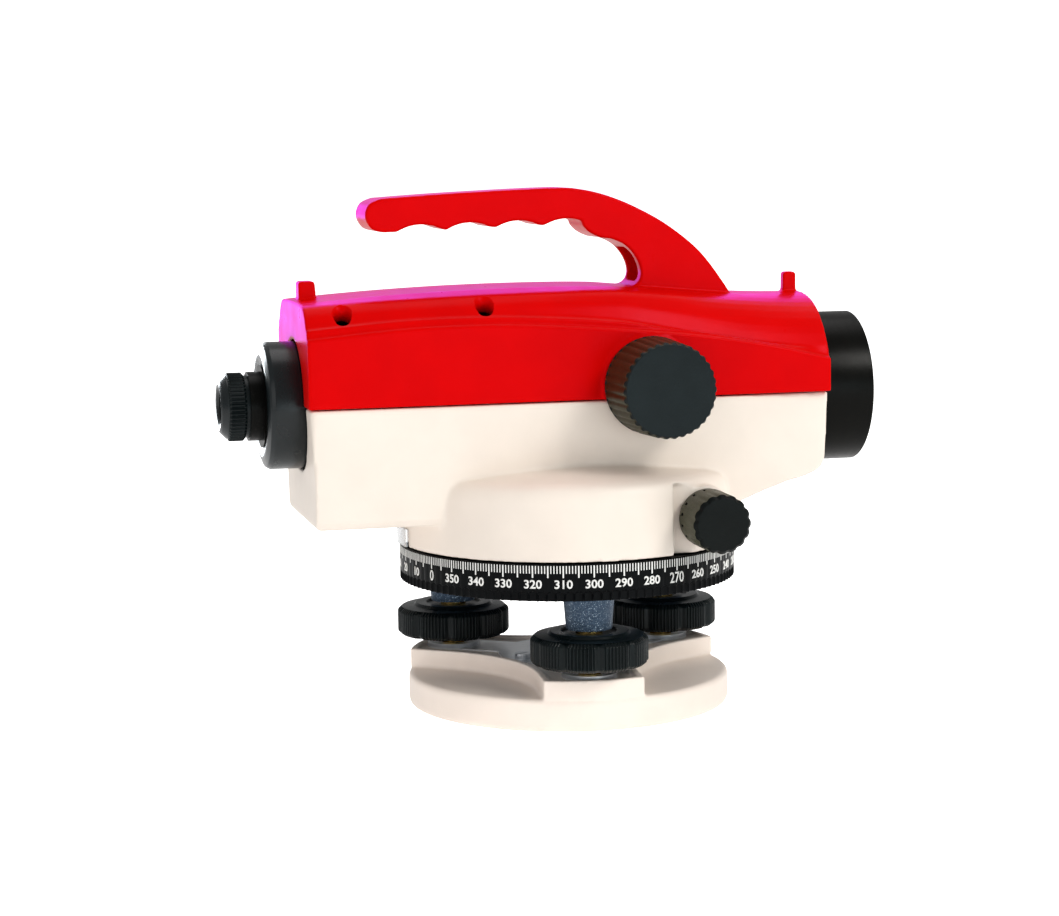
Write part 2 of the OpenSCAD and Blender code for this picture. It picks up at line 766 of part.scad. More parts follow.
module pendulum_prism() {
  color([0.75, 0.85, 0.92])
  translate([pendulum_x, 7.4, 85.2]) rotate([90, 0, 0]) linear_extrude(14.8)
    polygon([[-6.4, 0], [6.4, 0], [6.4, 2.4], [2, 6.8], [-2, 6.8], [-6.4, 2.4]]);
}

module suspension_wires() {
  color([0.85, 0.80, 0.60])
  for (s = [-1, 1], y = [-8.2, 8.2])
    translate([pendulum_x + s * 7, y, 93]) rotate([0, -s * 16, 0]) cylinder(r = 0.15, h = 9.6);
}

// ---- eyepiece ------------------------------------------------------------------------------

module eyepiece_flange() {
  color([0.05, 0.05, 0.06])
  along_x(-95.6)
    rotate_extrude()
      polygon([[12.7, 0], [flange_r - 3.2, 0], [flange_r - 1, 0.5], [flange_r, 1.6], [flange_r, 12.6],
        [12.7, 12.6]]);
}

module eyepiece_tube() {
  color([0.10, 0.10, 0.11])
  difference() {
    union() {
      along_x(-95.6) cylinder(r = 12.65, h = 35.6);
      along_x(-99.6) cylinder(r = 10.5, h = 5);
      translate([-78, -8, 63.4]) cube([10, 16, 24]);
    }
    along_x(-101) cylinder(r = 9.5, h = 42);
    for (a = [45:90:315]) along_x(-64) rotate([0, 0, a]) rotate([0, 90, 0]) cylinder(r = 1.05, h = 20);
  }
}

module reticle_cell() {
  color([0.80, 0.62, 0.28])
  along_x(-66) tube(9.4, 6.5, 4);
}

module reticle_glass() {
  color([0.80, 0.88, 0.95])
  along_x(-65) cylinder(r = 6.45, h = 1.5);
}

module reticle_screws() {
  color("silver")
  for (a = [45:90:315]) along_x(-64) rotate([0, 0, a]) rotate([0, 90, 0])
    translate([0, 0, 9.42]) cylinder(r = 1, h = 4.6);
}

module eyepiece_cell() {
  color([0.12, 0.12, 0.13])
  along_x(-105.9) tube(7.5, 6, 26);
}

module eyepiece_lenses() {
  color([0.70, 0.80, 0.90]) {
    along_x(-103.6) lens(5.95, 3.4, 0.9, 0.9);
    along_x(-86) lens(5.95, 3, 0.6, 0.6);
  }
}

module dioptre_ring() {
  color([0.05, 0.05, 0.06])
  along_x(-106)
    difference() {
      union() {
        linear_extrude(5.2) polygon(lobed(32, 10.4, 0.5, 6));
        cylinder(r = 9.45, h = 18);
      }
      translate([0, 0, -1]) cylinder(r = 7.5 + run, h = 20);
    }
}

module eyecup() {
  color([0.04, 0.04, 0.04])
  along_x(-108.4)
    rotate_extrude()
      polygon([[5.2, 0.9], [6.2, 0.2], [7.2, 0], [9.6, 2.4], [5.2, 2.4]]);
}

// ---- circular vial -------------------------------------------------------------------------

module vial_housing() {
  color([0.10, 0.10, 0.11])
  difference() {
    union() {
      translate([vial_at[0], vial_at[1], 84]) cylinder(r = 12.6, h = 11);
      translate([vial_at[0] - 8, 31, 85]) cube([16, 12, 9]);
    }
    translate([vial_at[0], vial_at[1], 87]) cylinder(r = 10.1, h = 20);
    for (a = [90, 210, 330]) translate([vial_at[0], vial_at[1], 80]) rotate(a)
      translate([8, 0, 0]) cylinder(r = 1.55, h = 10);
  }
}

module vial_glass() {
  color([0.85, 0.92, 0.95])
  translate([vial_at[0], vial_at[1], 88])
    difference() {
      cylinder(r = 10, h = 7.6);
      translate([0, 0, -1]) cylinder(r = 8.6, h = 7);
    }
}

module vial_fluid() {
  color([0.75, 0.90, 0.35])
  translate([vial_at[0], vial_at[1], 88])
    difference() {
      cylinder(r = 8.55, h = 5.9);
      translate([0, 0, 7.4]) sphere(3.4);
    }
}

module vial_screws() {
  color("silver")
  for (a = [90, 210, 330]) translate([vial_at[0], vial_at[1], 0]) rotate(a) translate([8, 0, 0]) {
    translate([0, 0, 82.4]) cylinder(r = 2.6, h = 1.6);
    translate([0, 0, 84]) cylinder(r = 1.5, h = 4);
  }
}

module mirror_bracket() {
  color([0.10, 0.10, 0.11])
  translate([0, vial_at[1] - 2, 0])
    difference() {
      translate([vial_at[0] - 12, -11, 95]) cube([24, 26, 22.6]);
      translate([vial_at[0] - 20, -9, 94]) cube([40, 22, 30]);
      translate([vial_at[0] - 12, 20, 95]) rotate([90, 0, 0]) linear_extrude(40)
        polygon([[-1, 3], [-1, 30], [20, 30], [1, 3]]);
      translate([vial_at[0] + 12, 0, 95]) rotate([90, 0, 0])
        translate([0, 0, -30]) linear_extrude(60) polygon([[-14, -1], [-3.4, 19], [8, 19], [8, -1]]);
    }
}

module vial_mirror() {
  color([0.80, 0.83, 0.86])
  translate([vial_at[0] - 8.8, vial_at[1] - 10.8, 99.4]) rotate([0, -46, 0]) cube([22, 21.6, 1.4]);
}

// ---- nodes ---------------------------------------------------------------------------------

base_plate();
spring_plate();
spring_plate_screws();
foot_washers();
tribrach();
footscrew_bushes();
spindle_bush();
footscrew_front();
footscrew_left();
footscrew_right();
footscrew_knob_front();
footscrew_knob_left();
footscrew_knob_right();
graduated_circle();
lower_housing();
top_cover();
cover_screws();
index_window();
spindle();
spindle_screws();
spindle_nut();
worm_bushes();
focus_bush();
telescope_tube();
objective_barrel();
objective_crown_lens();
objective_flint_lens();
objective_retainer();
compensator_frame();
compensator_screws();
front_prism();
roof_prism();
damper_magnets();
pendulum();
pendulum_prism();
suspension_wires();
eyepiece_flange();
eyepiece_tube();
reticle_cell();
reticle_glass();
reticle_screws();
eyepiece_cell();
eyepiece_lenses();
dioptre_ring();
eyecup();
focus_knob();
focus_pinion();
focus_cell();
focus_lens();
worm_shaft();
tangent_knob_near();
tangent_knob_far();
worm_wheel();
vial_housing();
vial_glass();
vial_fluid();
vial_screws();
vial_mirror();
mirror_bracket();
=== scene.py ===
"""Looks of the automatic level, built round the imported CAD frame. Metres, +Z up, +X to the objective."""

import json
import math

import bmesh
import bpy
from mathutils import Matrix, Vector


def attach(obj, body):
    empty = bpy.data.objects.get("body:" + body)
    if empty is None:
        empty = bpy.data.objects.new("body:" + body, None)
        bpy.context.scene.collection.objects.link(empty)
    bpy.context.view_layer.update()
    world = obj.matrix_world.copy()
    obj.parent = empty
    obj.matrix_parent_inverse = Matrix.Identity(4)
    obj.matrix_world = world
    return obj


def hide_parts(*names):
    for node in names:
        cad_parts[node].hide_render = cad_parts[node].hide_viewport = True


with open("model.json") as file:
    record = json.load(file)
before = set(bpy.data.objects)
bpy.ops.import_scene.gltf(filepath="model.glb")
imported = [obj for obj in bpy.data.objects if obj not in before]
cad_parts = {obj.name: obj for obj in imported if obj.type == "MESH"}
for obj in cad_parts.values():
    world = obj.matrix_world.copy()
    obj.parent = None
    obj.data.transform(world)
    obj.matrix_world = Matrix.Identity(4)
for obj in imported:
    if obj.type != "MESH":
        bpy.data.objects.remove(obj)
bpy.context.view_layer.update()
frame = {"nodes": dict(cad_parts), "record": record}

MM = 0.001
AXIS_Z = 96.3            # line of sight
SEAM_Z = 97.1            # seam between housing and cover
HALF_W = 30.0            # half the width of the housing
SCREW_CIRCLE = 39.13     # radius of the circle through the three footscrews
SCREW_DIRS = {"front": 265.19, "left": 145.19, "right": 25.19}
CIRCLE_R = 52.5          # the graduated circle
CIRCLE_TOP = 51.1
READING_AT_FRONT = 294.5  # degrees of the graduated circle that face -Y


# ---- materials -----------------------------------------------------------------------------

def new_material(name):
    mat = bpy.data.materials.new(name)
    mat.use_nodes = True
    tree = mat.node_tree
    return mat, tree, tree.nodes["Principled BSDF"]


def node(tree, kind, **values):
    n = tree.nodes.new(kind)
    for key, value in values.items():
        if key in n.inputs:
            n.inputs[key].default_value = value
        else:
            setattr(n, key, value)
    return n


def object_coords(tree, scale=(1, 1, 1)):
    coords = node(tree, "ShaderNodeTexCoord")
    mapping = node(tree, "ShaderNodeMapping", Scale=scale)
    tree.links.new(coords.outputs["Object"], mapping.inputs["Vector"])
    return mapping.outputs["Vector"]


def ramp(tree, source, low, high, stops=(0.35, 0.65)):
    r = node(tree, "ShaderNodeValToRGB")
    r.color_ramp.elements[0].position = stops[0]
    r.color_ramp.elements[1].position = stops[1]
    r.color_ramp.elements[0].color = low
    r.color_ramp.elements[1].color = high
    tree.links.new(source, r.inputs["Fac"])
    return r.outputs["Color"]


def surface(name, base, rough, metal=0.0, grain=2500, bump=0.02, vary=0.06, shade=0.9,
            stretch=(1, 1, 1), specular=0.5, tint=(1, 1, 1)):
    """Coloured surface with cloudy tone, uneven roughness and fine grain."""
    mat, tree, bsdf = new_material(name)
    link = tree.links.new
    bsdf.inputs["Metallic"].default_value = metal
    bsdf.inputs["Specular IOR Level"].default_value = specular
    bsdf.inputs["Specular Tint"].default_value = tuple(tint) + (1,)
    where = object_coords(tree, stretch)
    cloud = node(tree, "ShaderNodeTexNoise", Scale=70.0, Detail=4.0)
    link(where, cloud.inputs["Vector"])
    dark = tuple(c * shade for c in base) + (1,)
    link(ramp(tree, cloud.outputs["Fac"], dark, tuple(base) + (1,)), bsdf.inputs["Base Color"])
    fine = node(tree, "ShaderNodeTexNoise", Scale=float(grain), Detail=3.0)
    link(where, fine.inputs["Vector"])
    smudge = node(tree, "ShaderNodeTexNoise", Scale=160.0, Detail=5.0)
    link(where, smudge.inputs["Vector"])
    mix = node(tree, "ShaderNodeMapRange")
    mix.inputs["To Min"].default_value = max(rough - vary, 0.03)
    mix.inputs["To Max"].default_value = rough + vary
    link(smudge.outputs["Fac"], mix.inputs["Value"])
    link(mix.outputs["Result"], bsdf.inputs["Roughness"])
    b = node(tree, "ShaderNodeBump", Strength=bump, Distance=0.0004)
    link(fine.outputs["Fac"], b.inputs["Height"])
    link(b.outputs["Normal"], bsdf.inputs["Normal"])
    return mat


def hammertone(name, base):
    """Metallic hammer-finish paint: fine dimples and scattered bright flakes."""
    mat, tree, bsdf = new_material(name)
    link = tree.links.new
    bsdf.inputs["Metallic"].default_value = 0.45
    bsdf.inputs["Specular IOR Level"].default_value = 0.4
    where = object_coords(tree)
    cells = node(tree, "ShaderNodeTexVoronoi", Scale=1500.0)
    link(where, cells.inputs["Vector"])
    flakes = node(tree, "ShaderNodeTexNoise", Scale=3200.0, Detail=1.0)
    link(where, flakes.inputs["Vector"])
    mottled = ramp(tree, cells.outputs["Distance"], tuple(base) + (1,), tuple(c * 1.35 for c in base) + (1,),
                   (0.1, 0.8))
    spark = ramp(tree, flakes.outputs["Fac"], (0, 0, 0, 1), (1, 1, 1, 1), (0.64, 0.70))
    mix = node(tree, "ShaderNodeMixRGB")
    mix.inputs["Color2"].default_value = (0.55, 0.68, 0.80, 1)
    link(mottled, mix.inputs["Color1"])
    link(spark, mix.inputs["Fac"])
    link(mix.outputs["Color"], bsdf.inputs["Base Color"])
    rough = node(tree, "ShaderNodeMapRange")
    rough.inputs["To Min"].default_value = 0.42
    rough.inputs["To Max"].default_value = 0.18
    link(spark, rough.inputs["Value"])
    link(rough.outputs["Result"], bsdf.inputs["Roughness"])
    b = node(tree, "ShaderNodeBump", Strength=0.35, Distance=0.0003)
    link(cells.outputs["Distance"], b.inputs["Height"])
    link(b.outputs["Normal"], bsdf.inputs["Normal"])
    return mat


def rubber(name, face, side):
    """Moulded rubber with painted sheen: its sides get a lighter olive colour than its end faces."""
    mat = surface(name, face, 0.40, grain=3200, bump=0.18, shade=0.8, vary=0.08, specular=0.2)
    tree = mat.node_tree
    bsdf = tree.nodes["Principled BSDF"]
    faces = bsdf.inputs["Base Color"].links[0].from_socket
    # painted sheen: the side colour is mixed in where the normal turns away from Y, the face colour where it
    # points along Y
    coords = node(tree, "ShaderNodeTexCoord")
    split = node(tree, "ShaderNodeSeparateXYZ")
    tree.links.new(coords.outputs["Normal"], split.inputs["Vector"])
    size = node(tree, "ShaderNodeMath", operation="ABSOLUTE")
    tree.links.new(split.outputs["Y"], size.inputs[0])
    across = ramp(tree, size.outputs["Value"], (0, 0, 0, 1), (1, 1, 1, 1), (0.25, 0.5))
    mix = node(tree, "ShaderNodeMixRGB")
    mix.inputs["Color1"].default_value = tuple(side) + (1,)
    tree.links.new(across, mix.inputs["Fac"])
    tree.links.new(faces, mix.inputs["Color2"])
    tree.links.new(mix.outputs["Color"], bsdf.inputs["Base Color"])
    return mat


def glass(name, tint, rough=0.03, ior=1.5):
    mat, tree, bsdf = new_material(name)
    bsdf.inputs["Transmission Weight"].default_value = 1.0
    bsdf.inputs["IOR"].default_value = ior
    noise = node(tree, "ShaderNodeTexNoise", Scale=220.0, Detail=3.0)
    tree.links.new(object_coords(tree), noise.inputs["Vector"])
    tree.links.new(ramp(tree, noise.outputs["Fac"], tuple(c * 0.95 for c in tint) + (1,), tuple(tint) + (1,)),
                   bsdf.inputs["Base Color"])
    mapped = node(tree, "ShaderNodeMapRange")
    mapped.inputs["To Min"].default_value = rough
    mapped.inputs["To Max"].default_value = rough + 0.03
    tree.links.new(noise.outputs["Fac"], mapped.inputs["Value"])
    tree.links.new(mapped.outputs["Result"], bsdf.inputs["Roughness"])
    return mat


MATERIALS = {
    "red_plastic": surface("red_plastic", (0.66, 0.0022, 0.001), 0.30, grain=1500, bump=0.05, shade=0.94,
                           specular=0.13, tint=(1.0, 0.25, 0.45)),
    "ivory_paint": surface("ivory_paint", (0.86, 0.775, 0.695), 0.42, grain=2200, bump=0.07, shade=0.965,
                           specular=0.3),
    "cream_paint": surface("cream_paint", (0.86, 0.765, 0.69), 0.38, grain=1800, bump=0.09, shade=0.955,
                           specular=0.35),
    "black_plastic": surface("black_plastic", (0.006, 0.011, 0.012), 0.30, grain=2600, bump=0.12,
                             shade=0.7, vary=0.08, specular=0.25),
    "black_gloss_plastic": surface("black_gloss_plastic", (0.006, 0.011, 0.013), 0.26, grain=2200,
                                   bump=0.05, shade=0.75, specular=0.5),
    # the second colour is a painted olive sheen for the rubber's sides
    "black_rubber": rubber("black_rubber", (0.013, 0.020, 0.022), (0.036, 0.036, 0.018)),
    "circle_black": surface("circle_black", (0.004, 0.005, 0.006), 0.36, grain=3000, bump=0.10, shade=0.7,
                            specular=0.12),
    "black_anodised": surface("black_anodised", (0.004, 0.004, 0.003), 0.30, metal=0.0, grain=900,
                              bump=0.10, shade=0.8, stretch=(6, 1, 1), specular=0.14),
    "steel": surface("steel", (0.68, 0.70, 0.73), 0.30, metal=0.6, grain=1600, bump=0.10, shade=0.88,
                     stretch=(1, 1, 6)),
    "spring_steel": surface("spring_steel", (0.84, 0.85, 0.86), 0.30, metal=0.35, grain=1500, bump=0.08,
                            shade=0.93, stretch=(1, 8, 1)),
    "brass": surface("brass", (0.80, 0.58, 0.22), 0.26, metal=1.0, grain=1400, bump=0.10, shade=0.85,
                     stretch=(1, 1, 6)),
    "bronze": surface("bronze", (0.58, 0.42, 0.22), 0.35, metal=1.0, grain=1400, bump=0.10, shade=0.85),
    "cast_alloy": surface("cast_alloy", (0.52, 0.54, 0.56), 0.42, metal=0.9, grain=1100, bump=0.2),
    "magnet": surface("magnet", (0.25, 0.25, 0.26), 0.3, metal=1.0, grain=1800, bump=0.08),
    "mirror": surface("mirror", (0.9, 0.92, 0.93), 0.05, metal=1.0, grain=900, bump=0.003, vary=0.02,
                      shade=0.98),
    "blue_grey_paint": hammertone("blue_grey_paint", (0.050, 0.078, 0.118)),
    "optical_glass": glass("optical_glass", (0.86, 0.92, 1.0), ior=1.52),
    "clear_plastic": glass("clear_plastic", (0.93, 0.95, 0.97), rough=0.06, ior=1.49),
    "vial_fluid": glass("vial_fluid", (0.62, 0.88, 0.20), ior=1.36),
    # the second colour is a painted olive sheen for the knob's sides
    "knob_rubber": rubber("knob_rubber", (0.004, 0.0065, 0.006), (0.070, 0.072, 0.048)),
    "white_paint": surface("white_paint", (0.86, 0.86, 0.84), 0.5, grain=3000, bump=0.05, shade=0.93),
}

for part in frame["record"]["subparts"]:
    shown = frame["nodes"][part["node"]]
    shown.data.materials.clear()
    shown.data.materials.append(MATERIALS[part["material_slot"]])


# ---- mesh helpers --------------------------------------------------------------------------

def add_mesh(name, verts, faces, smooth_angle=35):
    """A new object from points in mm."""
    mesh = bpy.data.meshes.new(name)
    mesh.from_pydata([Vector(v) * MM for v in verts], [], faces)
    obj = bpy.data.objects.new(name, mesh)
    bpy.context.scene.collection.objects.link(obj)
    bm = bmesh.new()
    bm.from_mesh(mesh)
    bmesh.ops.recalc_face_normals(bm, faces=bm.faces)
    bm.to_mesh(mesh)
    bm.free()
    shade(obj, smooth_angle)
    return obj


def shade(obj, angle=35):
    obj.data.polygons.foreach_set("use_smooth", [True] * len(obj.data.polygons))
    obj.data.set_sharp_from_angle(angle=math.radians(angle))


def finish_piece(obj, body, slot, replaced=(), material=None):
    """Gives a piece its material and the body it rides on, and hides the CAD nodes it stands for."""
    obj.data.materials.clear()
    obj.data.materials.append(MATERIALS[material or slot])
    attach(obj, body)
    if replaced:
        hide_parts(*replaced)


def apply_modifiers(obj):
    bpy.context.view_layer.update()
    graph = bpy.context.evaluated_depsgraph_get()
    mesh = bpy.data.meshes.new_from_object(obj.evaluated_get(graph))
    obj.modifiers.clear()
    obj.data = mesh


def rounded(points, steps=4):
    """Closed outline with each corner (x, y, radius) turned into an arc."""
    out = []
    n = len(points)
    for i, corner in enumerate(points):
        p = Vector(corner[:2])
        r = corner[2] if len(corner) > 2 else 0
        a = Vector(points[i - 1][:2]) - p
        b = Vector(points[(i + 1) % n][:2]) - p
        if r <= 0 or a.length == 0 or b.length == 0:
            out.append(tuple(p))
            continue
        half = min(a.angle(b) / 2, math.radians(88))
        cut = min(r / math.tan(half), a.length * 0.49, b.length * 0.49)
        start, end = p + a.normalized() * cut, p + b.normalized() * cut
        for k in range(steps + 1):
            t = k / steps
            out.append(tuple((1 - t) ** 2 * start + 2 * t * (1 - t) * p + t ** 2 * end))
    return out


def ease(t):
    """Smooth step: 0 up to t = 0, 1 from t = 1 on."""
    u = min(max(t, 0.0), 1.0)
    return u * u * (3 - 2 * u)


def smooth(points, n):
    """Catmull-Rom curve through the points, n steps between neighbours."""
    out = []
    last = len(points) - 1
    for i in range(last):
        a, b = points[max(i - 1, 0)], points[i]
        c, d = points[i + 1], points[min(i + 2, last)]
        for k in range(n):
            t = k / n
            out.append(tuple(0.5 * (2 * q + (r - p) * t + (2 * p - 5 * q + 4 * r - s) * t * t
                                    + (3 * q - p - 3 * r + s) * t ** 3)
                             for p, q, r, s in zip(a, b, c, d)))
    out.append(points[-1])
    return out


def turned(name, outline, count, place=Matrix(), lobes=None, smooth_angle=35):
    """Solid of revolution about local Z. outline holds (radius, height[, lobe weight]), closed."""
    verts, faces = [], []
    n = len(outline)
    for k in range(count):
        a = 2 * math.pi * k / count
        for p in outline:
            r = p[0] - (p[2] * lobes(a, p[1]) if len(p) > 2 and p[2] else 0)
            verts.append(tuple(place @ Vector((r * math.cos(a), r * math.sin(a), p[1]))))
    for k in range(count):
        for i in range(n):
            q, j = (k + 1) % count, (i + 1) % n
            faces.append((k * n + i, q * n + i, q * n + j, k * n + j))
    obj = add_mesh(name, verts, faces, smooth_angle)
    bm = bmesh.new()
    bm.from_mesh(obj.data)
    bmesh.ops.remove_doubles(bm, verts=bm.verts, dist=1e-6)
    bmesh.ops.dissolve_degenerate(bm, dist=1e-7, edges=bm.edges)
    bmesh.ops.recalc_face_normals(bm, faces=bm.faces)
    bm.to_mesh(obj.data)
    bm.free()
    shade(obj, smooth_angle)
    return obj


def facing(x, y, z, toward):
    """Places local Z along -Y (toward = -1) or +Y (toward = 1) from a point."""
    return Matrix.Translation((x, y, z)) @ Matrix.Rotation(math.radians(-90 * toward), 4, "X")


def prism(name, outline, half, bevel=0.0, segments=4):
    """Side-view outline in (x, z), extruded to both sides of the middle plane, with rounded edges."""
    n = len(outline)
    verts = [(x, s * half, z) for s in (-1, 1) for x, z in outline]
    faces = [tuple(range(n)), tuple(range(2 * n - 1, n - 1, -1))]
    faces += [(i, (i + 1) % n, n + (i + 1) % n, n + i) for i in range(n)]
    obj = add_mesh(name, verts, faces)
    if bevel:
        mod = obj.modifiers.new("edge", "BEVEL")
        mod.width = bevel * MM
        mod.segments = segments
        mod.limit_method = "ANGLE"
        mod.angle_limit = math.radians(50)
        apply_modifiers(obj)
    return obj


def cylinder(name, r, start, end, count=48):
    """Closed round bar between two points, used to add or cut."""
    start, end = Vector(start), Vector(end)
    turn = (end - start).to_track_quat("Z", "Y").to_matrix()
    verts = []
    for base in (start, end):
        for k in range(count):
            a = 2 * math.pi * k / count
            verts.append(tuple(base + turn @ Vector((r * math.cos(a), r * math.sin(a), 0))))
    faces = [tuple(range(count - 1, -1, -1)), tuple(range(count, 2 * count))]
    faces += [(k, (k + 1) % count, count + (k + 1) % count, count + k) for k in range(count)]
    return add_mesh(name, verts, faces)


def box(name, low, high, bevel=0.0):
    """Box between two opposite corners."""
    xs, ys, zs = zip(low, high)
    verts = [(x, y, z) for x in xs for y in ys for z in zs]
    faces = [(0, 1, 3, 2), (4, 6, 7, 5), (0, 4, 5, 1), (2, 3, 7, 6), (0, 2, 6, 4), (1, 5, 7, 3)]
    obj = add_mesh(name, verts, faces)
    if bevel:
        mod = obj.modifiers.new("edge", "BEVEL")
        mod.width = bevel * MM
        mod.segments = 3
        apply_modifiers(obj)
    return obj


def combine(obj, operation, tool):
    """Boolean of obj with tool, which is used up."""
    mod = obj.modifiers.new("combine", "BOOLEAN")
    mod.operation = operation
    mod.solver = "EXACT"
    mod.object = tool
    apply_modifiers(obj)
    bpy.data.objects.remove(tool)


def cut(obj, *tools):
    for tool in tools:
        combine(obj, "DIFFERENCE", tool)


def join(obj, *others):
    """Puts the meshes of the others into obj, without fusing them."""
    bm = bmesh.new()
    bm.from_mesh(obj.data)
    for other in others:
        bm.from_mesh(other.data)
        bpy.data.objects.remove(other)
    bm.to_mesh(obj.data)
    bm.free()


def mould(obj, voxel, rounds):
    """Fuses what obj holds into one skin and softens every edge, as a moulding or casting has."""
    mod = obj.modifiers.new("skin", "REMESH")
    mod.mode = "VOXEL"
    mod.voxel_size = voxel * MM
    mod.use_smooth_shade = True
    apply_modifiers(obj)
    mod = obj.modifiers.new("soft", "SMOOTH")
    mod.factor = 0.5
    mod.iterations = rounds
    apply_modifiers(obj)
    obj.data.polygons.foreach_set("use_smooth", [True] * len(obj.data.polygons))


def copy_of(name, node_name):
    """A copy of a CAD node's mesh, to be reworked into the piece that stands for it."""
    obj = bpy.data.objects.new(name, frame["nodes"][node_name].data.copy())
    bpy.context.scene.collection.objects.link(obj)
    bm = bmesh.new()
    bm.from_mesh(obj.data)
    bmesh.ops.remove_doubles(bm, verts=bm.verts, dist=1e-6)
    bm.to_mesh(obj.data)
    bm.free()
    return obj


def loft(name, rings):
    """Closed skin through rings with the same number of points."""
    n = len(rings[0])
    last = len(rings) - 1
    verts = [p for ring in rings for p in ring]
    faces = [tuple(range(n)), tuple(last * n + k for k in range(n - 1, -1, -1))]
    for i in range(last):
        for k in range(n):
            j = (k + 1) % n
            faces.append((i * n + k, (i + 1) * n + k, (i + 1) * n + j, i * n + j))
    return add_mesh(name, verts, faces)


# ---- cover with handle ---------------------------------------------------------------------

def between(table, x):
    """Value at x of the smooth curve through the (x, value) knots of a table."""
    i = min(max(sum(1 for k in table if k[0] <= x) - 1, 0), len(table) - 2)
    a, b = table[max(i - 1, 0)], table[i]
    c, d = table[i + 1], table[min(i + 2, len(table) - 1)]
    t = (x - b[0]) / (c[0] - b[0])
    rise = c[0] - b[0]
    m0 = (c[1] - a[1]) / (c[0] - a[0]) * rise
    m1 = (d[1] - b[1]) / (d[0] - b[0]) * rise
    return (b[1] * (1 + 2 * t) * (1 - t) ** 2 + m0 * t * (1 - t) ** 2 + c[1] * t * t * (3 - 2 * t)
            - m1 * t * t * (1 - t))


COVER_REAR, COVER_FRONT = -85.3, 77.0
COVER_HEIGHT = 34.5
COVER_OVERHANG = 0.3     # how far the cover stands out past the housing
SEAM_GAP = 0.3

# the ledge along the cover's side: height of its lower edge, and its width, at places along X
LEDGE = [(-86, 117.5), (-56, 120.0), (-32, 120.5), (-14, 119.8), (12, 117.8), (35, 115.4), (57.6, 111.8),
         (77, 107.4)]
BAND = [(-86, 3.2), (-40, 2.8), (12, 2.9), (35, 2.2), (58, 1.7), (77, 1.7)]


def crease_z(x):
    """Height of the crease between the cover's side and its top."""
    return 129.4 - (x - 5) ** 2 * (0.00030 if x < 5 else 0.00070)


def crown_z(x):
    """Height of the cover along its middle."""
    return 131.3 - (x + 15) ** 2 * (0.00072 if x < -15 else 0.00059)


def cover_half(x, inset):
    """Half of the cover's cross-section, from seam to crown, as (y, z) corners.

    It turns from a box with a flat top at the rear to an arch round the barrel at the front."""
    t = 0.35 * ease(x / COVER_FRONT) + 0.65 * min(max((x - 12) / (COVER_FRONT - 12), 0), 1)
    w = HALF_W + COVER_OVERHANG
    low, crease, crown = between(LEDGE, x), crease_z(x), crown_z(x)
    top = low + between(BAND, x)
    boxy = [(w, SEAM_Z), (w, low), (w - 1.2, low + 0.45), (w - 1.3, top - 0.6), (w - 2.7, top),
            (25.4, 0.45 * top + 0.55 * crease), (22, crease), (15, crease + 0.7 * (crown - crease)),
            (0, crown)]
    arch = [(w, SEAM_Z), (w - 0.1, low), (w - 1.4, low + 0.4), (w - 1.8, top - 0.5)]
    for degrees in (28, 44, 60, 75, 90):
        a = math.radians(degrees)
        r = HALF_W * (1.01 + 0.045 * math.sin(2 * a) ** 2)
        arch.append((r * math.cos(a), AXIS_Z + r * math.sin(a)))
    sy, sz = 1 - inset / w, 1 - inset / COVER_HEIGHT
    foot = SEAM_Z - 1 if inset else SEAM_Z + SEAM_GAP
    half = []
    for i, (p, q) in enumerate(zip(boxy, arch)):
        y = (1 - t) * p[0] + t * q[0]
        z = (1 - t) * p[1] + t * q[1]
        half.append((y * sy, foot + (0 if i == 0 else (z - SEAM_Z) * sz)))
    return half


def cover_ring(x, inset, steps=3):
    """The whole cross-section at x, with its corners rounded."""
    half = cover_half(x, inset)
    round_over = 30 * ease((x - 25) / 50)
    radii = [0, 0.5, 0.4, 0.5, 0.8] + [r + round_over for r in (9, 6, 8, 2)]
    corners = [(y, z, r) for (y, z), r in zip(half, radii)]
    loop = corners + [(-y, z, r) for y, z, r in reversed(corners[:-1])]
    return [(x, y, z) for y, z in rounded(loop, steps)]


def cover_skin(name, x0, x1, inset, count=64):
    return loft(name, [cover_ring(x0 + (x1 - x0) * i / count, inset) for i in range(count + 1)])


HANDLE_TOP = [(-58.8, 158.5), (-37.3, 159.7), (-6, 160.8), (3.5, 160.3), (13, 157.9), (22.6, 153.8),
              (32.2, 148.2), (41.9, 140.2), (50, 129.6), (53, 124)]
HANDLE_UNDER = [(9, 124), (9.5, 128.6), (19.2, 130.1), (22.1, 132.2), (22.4, 135.6), (20.8, 139.4),
                (17.7, 142.8), (13.5, 144.8), (9.7, 145.4), (6.2, 147.1), (3.4, 149.6), (0, 149.9),
                (-8.3, 149.4), (-23.1, 148.8), (-38.7, 148.4), (-52.9, 148.4), (-58.1, 148.3)]
HANDLE_END = [(-58.1, 148.3), (-61.6, 149.4), (-63.6, 153), (-62.4, 156.8), (-58.8, 158.5)]
GROOVE_R = 14
SCREW_SPOTS = [(-74, 25), (-74, -25), (-31, 25), (-31, -25)]
SCOOP_FLOOR = 120.6
FOCUS_AT = (19.2, 101.4)


def groove_floor(x, z):
    """Lifts the underside of the grip into four finger grooves."""
    for i in range(4):
        cx, cz = -46.4 + 15.2 * i, 148.3 + 2.2 - GROOVE_R + 0.3 * i
        if abs(x - cx) < GROOVE_R and z < 152:
            z = max(z, cz + math.sqrt(GROOVE_R ** 2 - (x - cx) ** 2))
    return z


def handle_outline():
    """Side view of the handle, without points closer together than 0.25."""
    under = [(x, groove_floor(x, z) if x < 4 else z) for x, z in smooth(HANDLE_UNDER, 8)]
    outline = smooth(HANDLE_TOP, 6) + under + smooth(HANDLE_END, 6)[1:-1]
    kept = []
    for p in outline:
        if not kept or (Vector(p) - Vector(kept[-1])).length > 0.25:
            kept.append(p)
    return kept


